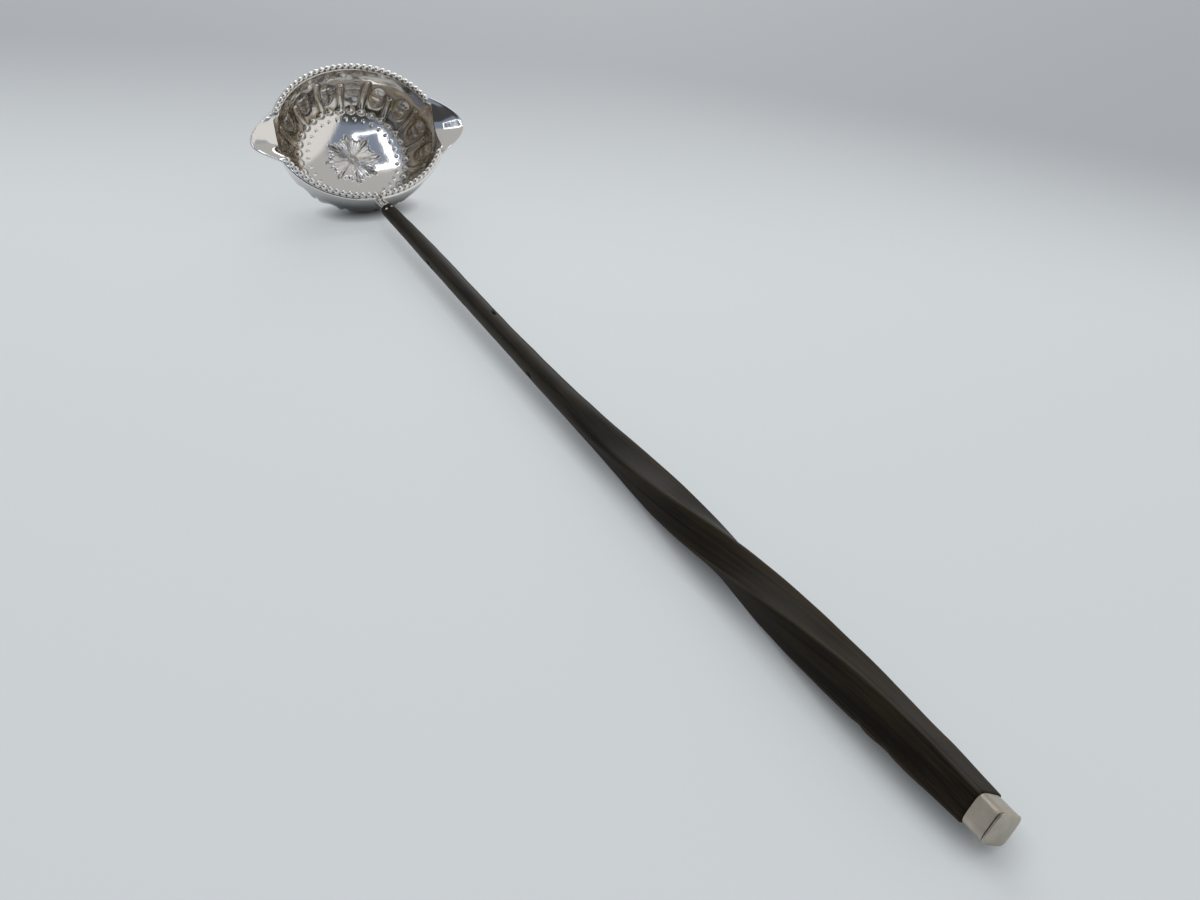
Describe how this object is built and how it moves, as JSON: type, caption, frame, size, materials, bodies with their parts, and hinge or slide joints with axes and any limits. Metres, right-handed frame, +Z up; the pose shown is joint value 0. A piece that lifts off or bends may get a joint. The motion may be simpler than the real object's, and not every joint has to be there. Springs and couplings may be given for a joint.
{
  "type": "punch ladle",
  "caption": "Punch ladle with an oval fluted silver bowl, side pouring lips and beaded rim, on a long twisted dark handle with a square silver end cap.",
  "frame": {"origin": "centre of the bounding box's bottom, on the table that the ladle lies on", "axes": "+Y along the ladle from the end cap to the bowl, +X through the bowl's right lip, +Z up"},
  "size_m": [0.0808, 0.374, 0.0494],
  "materials": {
    "polished_silver": "polished silver, slightly toned in the chasing",
    "satin_silver": "satin silver with fine scratches",
    "baleen": "polished near-black baleen with fine long grain"
  },
  "bodies": {
    "root": {"bowl": "polished_silver", "lip_left": "polished_silver", "lip_right": "polished_silver", "rim_beading_back": "polished_silver", "rim_beading_front_left": "polished_silver", "rim_beading_front_right": "polished_silver", "handle_stem": "polished_silver", "stem_pin_left": "polished_silver", "stem_pin_right": "polished_silver", "handle": "baleen", "end_cap_sleeve": "satin_silver", "end_cap_plate": "satin_silver"}
  },
  "joints": []
}
